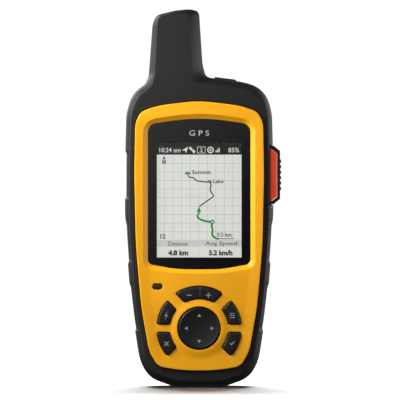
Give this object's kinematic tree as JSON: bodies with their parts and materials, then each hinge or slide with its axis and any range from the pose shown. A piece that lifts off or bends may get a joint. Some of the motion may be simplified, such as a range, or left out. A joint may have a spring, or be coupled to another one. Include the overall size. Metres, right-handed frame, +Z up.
{
  "type": "handheld gps unit",
  "caption": "Rugged handheld satellite GPS unit with a stub antenna, colour display, ring of keys round a tilting pad, hinged distress-key guard and port flap.",
  "frame": {"origin": "centre of the small flat on the base that the unit stands on", "axes": "+Z up along the case to the antenna tip, the display faces -Y, +X to the reader's right"},
  "size_m": [0.0677, 0.0377, 0.1637],
  "materials": {
    "black_shell": "fine-textured rubberised plastic",
    "flap_rubber": "matte",
    "spine_plastic": "satin",
    "yellow_plastic": "satin, finely textured",
    "window_glass": "polished, black border printed on the back",
    "gasket_foam": "matte",
    "lcd_screen": "lit display",
    "pale_plastic": "moulded",
    "flex_film": "polyimide film",
    "key_rubber": "satin silicone",
    "led_lens": "smoked lens",
    "circuit_board": "solder mask",
    "steel": "satin",
    "screw_steel": "blackened",
    "battery_wrap": "heat-shrunk film",
    "ceramic": "fired ceramic",
    "helix_metal": "plated",
    "sos_red": "satin",
    "guard_rubber": "matte ribbed",
    "label_film": "blank printed film"
  },
  "bodies": {
    "housing": {"front_housing": "black_shell", "rear_housing": "black_shell", "sos_housing": "black_shell", "mounting_spine": "spine_plastic", "front_bezel": "yellow_plastic", "display_window": "window_glass", "window_gasket": "gasket_foam", "lcd_panel": "lcd_screen", "lcd_backlight": "pale_plastic", "lcd_flex": "flex_film", "status_led": "led_lens", "keypad_mat": "key_rubber", "dome_sheet": "pale_plastic", "keypad_board": "circuit_board", "chassis": "steel", "main_board": "circuit_board", "shield_can_left": "steel", "shield_can_right": "steel", "satellite_modem": "steel", "battery_pack": "battery_wrap", "battery_plug": "pale_plastic", "gps_antenna": "ceramic", "buzzer": "key_rubber", "antenna_core": "pale_plastic", "antenna_helix": "helix_metal", "antenna_coax": "gasket_foam", "sos_hinge_pin": "steel", "sos_switch": "steel", "usb_port": "steel", "rear_label": "label_film", "case_screw_1": "screw_steel", "case_screw_2": "screw_steel", "case_screw_3": "screw_steel", "case_screw_4": "screw_steel", "case_screw_5": "screw_steel", "case_screw_6": "screw_steel", "spine_screw_1": "screw_steel", "spine_screw_2": "screw_steel"},
    "menu_key": {"key_menu": "key_rubber"},
    "power_key": {"key_power": "key_rubber"},
    "back_key": {"key_back": "key_rubber"},
    "enter_key": {"key_enter": "key_rubber"},
    "zoom_key": {"zoom_rocker": "key_rubber"},
    "pad_gimbal": {"nav_gimbal": "pale_plastic"},
    "pad": {"nav_pad": "key_rubber"},
    "sos_guard": {"sos_guard_core": "sos_red", "sos_guard_tread": "guard_rubber"},
    "sos_button": {"sos_key": "sos_red"},
    "port_flap": {"usb_flap": "flap_rubber"}
  },
  "joints": [
    {"name": "menu_press", "type": "slide", "parent": "housing", "child": "menu_key", "axis": [0, 1, 0], "range_m": [0, 0.0005], "stiffness_N_per_m": 2500},
    {"name": "power_press", "type": "slide", "parent": "housing", "child": "power_key", "axis": [0, 1, 0], "range_m": [0, 0.0005], "stiffness_N_per_m": 2500},
    {"name": "back_press", "type": "slide", "parent": "housing", "child": "back_key", "axis": [0, 1, 0], "range_m": [0, 0.0005], "stiffness_N_per_m": 2500},
    {"name": "enter_press", "type": "slide", "parent": "housing", "child": "enter_key", "axis": [0, 1, 0], "range_m": [0, 0.0005], "stiffness_N_per_m": 2500},
    {"name": "zoom_rock", "type": "hinge", "parent": "housing", "child": "zoom_key", "pos_m": [0, -0.0115, 0.0412], "axis": [0, 0, 1], "range_deg": [-2.5, 2.5], "stiffness_Nm_per_rad": 0.3},
    {"name": "pad_tilt_up_down", "type": "hinge", "parent": "housing", "child": "pad_gimbal", "pos_m": [0, -0.0115, 0.0257], "axis": [1, 0, 0], "range_deg": [-2.5, 2.5], "stiffness_Nm_per_rad": 0.3},
    {"name": "pad_tilt_left_right", "type": "hinge", "parent": "pad_gimbal", "child": "pad", "pos_m": [0, -0.0115, 0.0257], "axis": [0, 0, 1], "range_deg": [-2.5, 2.5], "stiffness_Nm_per_rad": 0.3},
    {"name": "sos_guard_swing", "type": "hinge", "parent": "housing", "child": "sos_guard", "pos_m": [0.0315, 0.0071, 0.09195], "axis": [0, 0, 1], "range_deg": [0, 100]},
    {"name": "sos_press", "type": "slide", "parent": "housing", "child": "sos_button", "axis": [-1, 0, 0], "range_m": [0, 0.0008], "stiffness_N_per_m": 2500},
    {"name": "port_flap_swing", "type": "hinge", "parent": "housing", "child": "port_flap", "pos_m": [0.01535, 0, 0.13275], "axis": [0, 1, 0], "range_deg": [0, 110]}
  ]
}
